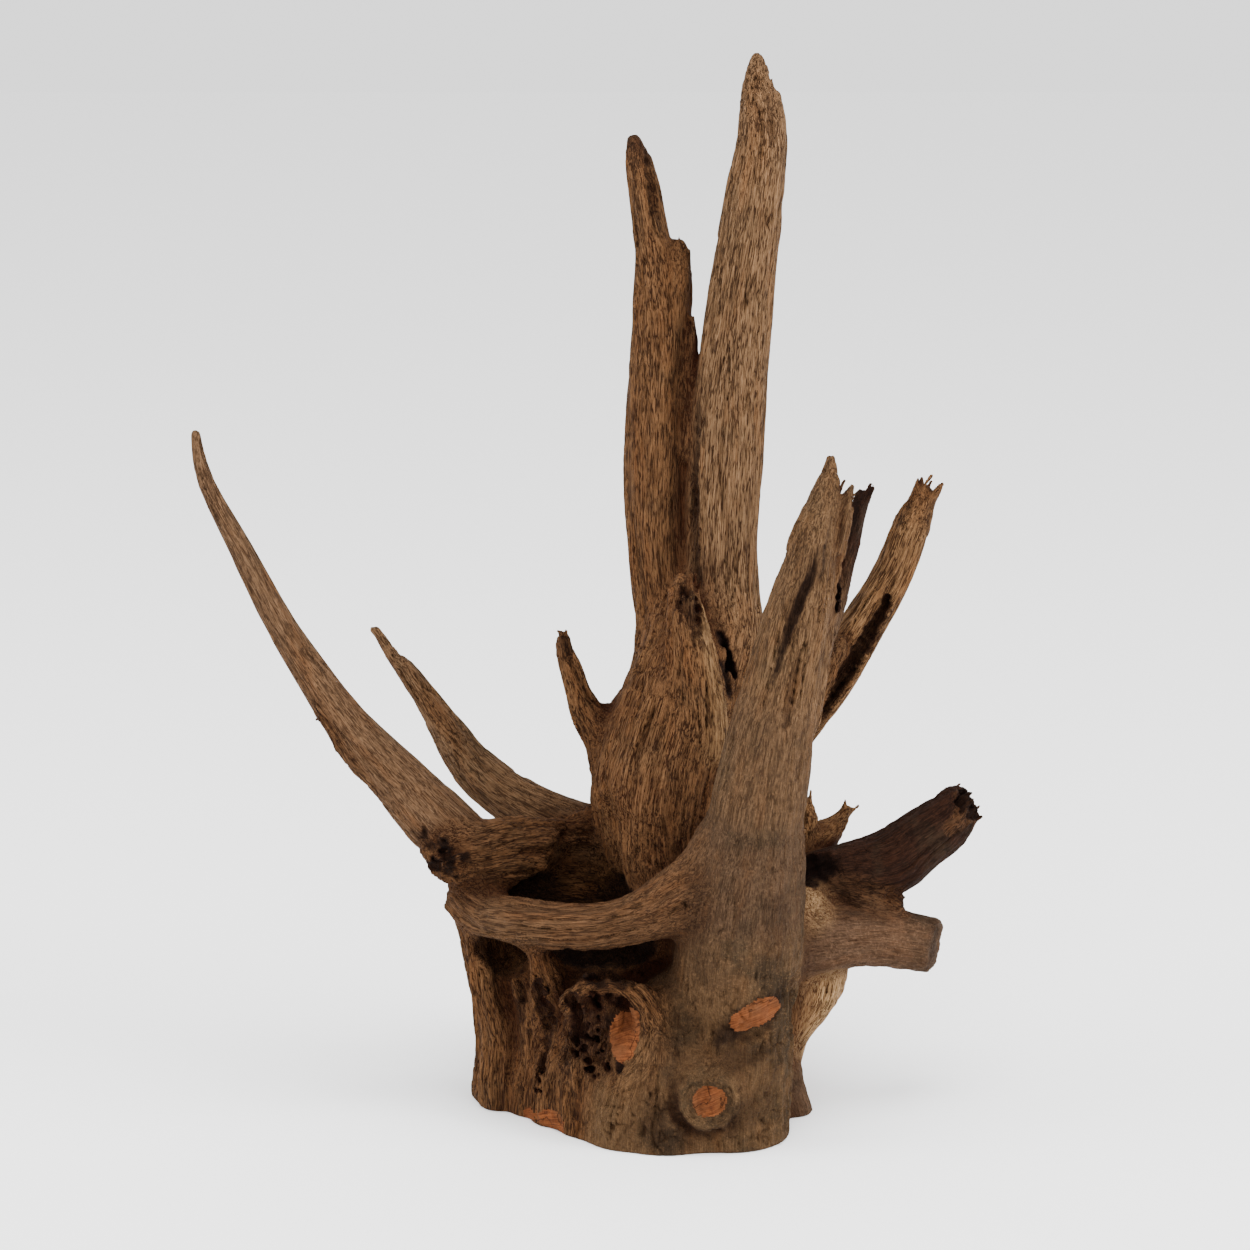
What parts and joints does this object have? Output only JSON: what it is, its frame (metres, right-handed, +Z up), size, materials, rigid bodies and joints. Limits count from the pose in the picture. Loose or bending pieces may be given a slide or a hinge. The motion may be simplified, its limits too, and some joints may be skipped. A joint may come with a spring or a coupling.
{
  "type": "driftwood cave ornament",
  "caption": "Freestanding driftwood root stump with a hollow cave under a bridge root and tall weathered limbs, flat at the base, for an aquarium or pond floor.",
  "frame": {"origin": "on the flat base, under the middle of the stump, near the centre of the trunk", "axes": "+Z up from the base towards the tallest limb; -Y is the front with the cave mouth; +X is the side of the sawn and broken stubs"},
  "size_m": [0.3326, 0.1474, 0.4479],
  "materials": {
    "stump_wood": "weathered matt, coarse fibre grain with cracks",
    "trunk_wood": "weathered matt, long vertical fibre grain",
    "grey_wood": "weathered matt, greyed, with fine cracks",
    "dark_wood": "rotten and torn, rough, dark",
    "pale_wood": "weathered matt, pale, fibrous",
    "heartwood": "dry sawn end grain, orange red"
  },
  "bodies": {
    "root": {"root_stump": "stump_wood", "left_lobe": "stump_wood", "right_buttress": "pale_wood", "right_foot": "stump_wood", "rear_root": "stump_wood", "centre_trunk": "trunk_wood", "tall_trunk_right": "trunk_wood", "tall_trunk_left": "trunk_wood", "broken_front_stub": "trunk_wood", "small_twig": "trunk_wood", "front_horn": "grey_wood", "horn_lamella": "dark_wood", "rear_right_limb": "trunk_wood", "rear_limb_flake": "dark_wood", "long_left_branch": "trunk_wood", "branch_splinter": "dark_wood", "left_spike": "stump_wood", "left_torn_root": "dark_wood", "bridge_root": "stump_wood", "cave_pillar": "stump_wood", "right_upper_stub": "dark_wood", "right_lower_stub": "stump_wood", "pointed_flake": "pale_wood", "knot_burl": "dark_wood", "heartwood_oval": "heartwood", "round_knot": "heartwood", "sawn_heartwood": "heartwood", "base_heartwood": "heartwood"}
  },
  "joints": []
}
